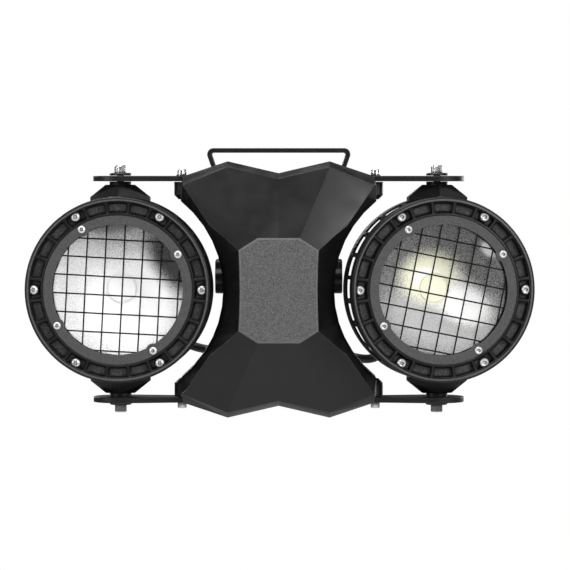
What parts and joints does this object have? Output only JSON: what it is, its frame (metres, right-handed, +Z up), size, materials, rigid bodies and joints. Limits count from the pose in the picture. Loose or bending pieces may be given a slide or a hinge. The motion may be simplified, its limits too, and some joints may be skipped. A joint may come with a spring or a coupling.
{
  "type": "audience blinder light",
  "caption": "Audience blinder light: round lamp heads with wire guards pan on arms beside a faceted hourglass body that tilts in a flat yoke.",
  "frame": {"origin": "centre of the clamp hole on the upper face of the yoke's top bar", "axes": "+Z up, the lamps shine towards -Y, +X to the right seen from the front"},
  "size_m": [0.5598, 0.1849, 0.297],
  "materials": {
    "body_paint": "fine black powder coat over cast aluminium",
    "cast_paint": "rough black powder coat over cast aluminium",
    "bracket_paint": "satin black powder coat over steel plate",
    "ring_plate": "matte grey anodised",
    "guard_wire": "blackened wire",
    "lens_glass": "clear tempered glass",
    "seal_rubber": "black silicone",
    "reflector_skin": "bright textured aluminium",
    "led_chip": "yellow phosphor on a white board",
    "stainless": "stainless",
    "black_plastic": "moulded black nylon",
    "window_plastic": "smoked window",
    "circuit_board": "green solder mask",
    "supply_case": "plain sheet case",
    "lead_jacket": "black rubber jacket"
  },
  "bodies": {
    "yoke": {"yoke": "bracket_paint"},
    "body": {"front_cover": "body_paint", "cover_gasket": "seal_rubber", "chassis": "body_paint", "rear_housing": "body_paint", "power_supply": "supply_case", "control_board": "circuit_board", "display_window": "window_plastic", "power_inlet": "black_plastic", "power_outlet": "black_plastic", "data_inlet": "black_plastic", "data_outlet": "black_plastic", "left_top_arm": "bracket_paint", "left_bottom_arm": "bracket_paint", "left_top_bush": "black_plastic", "left_bottom_bush": "black_plastic", "left_body_gland": "black_plastic", "left_lead": "lead_jacket", "right_top_arm": "bracket_paint", "right_bottom_arm": "bracket_paint", "right_top_bush": "black_plastic", "right_bottom_bush": "black_plastic", "right_body_gland": "black_plastic", "right_lead": "lead_jacket"},
    "left_lock_knob": {"left_lock_knob": "black_plastic"},
    "right_lock_knob": {"right_lock_knob": "black_plastic"},
    "left_head": {"left_bezel_ring": "cast_paint", "left_retaining_ring": "ring_plate", "left_mesh_guard": "guard_wire", "left_glass": "lens_glass", "left_lens_gasket": "seal_rubber", "left_reflector": "reflector_skin", "left_cob_led": "led_chip", "left_drum_housing": "cast_paint", "left_rear_cap": "body_paint", "left_top_lug": "body_paint", "left_bottom_lug": "body_paint", "left_top_pivot_screw": "stainless", "left_bottom_pivot_screw": "stainless", "left_head_gland": "black_plastic"},
    "right_head": {"right_bezel_ring": "cast_paint", "right_retaining_ring": "ring_plate", "right_mesh_guard": "guard_wire", "right_glass": "lens_glass", "right_lens_gasket": "seal_rubber", "right_reflector": "reflector_skin", "right_cob_led": "led_chip", "right_drum_housing": "cast_paint", "right_rear_cap": "body_paint", "right_top_lug": "body_paint", "right_bottom_lug": "body_paint", "right_top_pivot_screw": "stainless", "right_bottom_pivot_screw": "stainless", "right_head_gland": "black_plastic"},
    "menu_button": {"menu_button": "black_plastic"},
    "down_button": {"down_button": "black_plastic"},
    "up_button": {"up_button": "black_plastic"},
    "enter_button": {"enter_button": "black_plastic"}
  },
  "joints": [
    {"name": "tilt", "type": "hinge", "parent": "yoke", "child": "body", "pos_m": [0, 0, -0.144], "axis": [1, 0, 0], "range_deg": [0, 110]},
    {"name": "left_pan", "type": "hinge", "parent": "body", "child": "left_head", "pos_m": [-0.175, -0.064, -0.156], "axis": [0, 0, 1], "range_deg": [-43, 47], "deforming": ["left_lead"]},
    {"name": "right_pan", "type": "hinge", "parent": "body", "child": "right_head", "pos_m": [0.175, -0.064, -0.156], "axis": [0, 0, 1], "range_deg": [-53, 37], "deforming": ["right_lead"]},
    {"name": "left_knob_turn", "type": "hinge", "parent": "body", "child": "left_lock_knob", "pos_m": [-0.06, 0, -0.144], "axis": [-1, 0, 0], "range_deg": [0, 270]},
    {"name": "right_knob_turn", "type": "hinge", "parent": "body", "child": "right_lock_knob", "pos_m": [0.06, 0, -0.144], "axis": [1, 0, 0], "range_deg": [0, 270]},
    {"name": "menu_press", "type": "slide", "parent": "body", "child": "menu_button", "axis": [0, -1, 0], "range_m": [0, 0.001], "stiffness_N_per_m": 500, "springref_m": -0.0005},
    {"name": "down_press", "type": "slide", "parent": "body", "child": "down_button", "axis": [0, -1, 0], "range_m": [0, 0.001], "stiffness_N_per_m": 500, "springref_m": -0.0005},
    {"name": "up_press", "type": "slide", "parent": "body", "child": "up_button", "axis": [0, -1, 0], "range_m": [0, 0.001], "stiffness_N_per_m": 500, "springref_m": -0.0005},
    {"name": "enter_press", "type": "slide", "parent": "body", "child": "enter_button", "axis": [0, -1, 0], "range_m": [0, 0.001], "stiffness_N_per_m": 500, "springref_m": -0.0005}
  ]
}
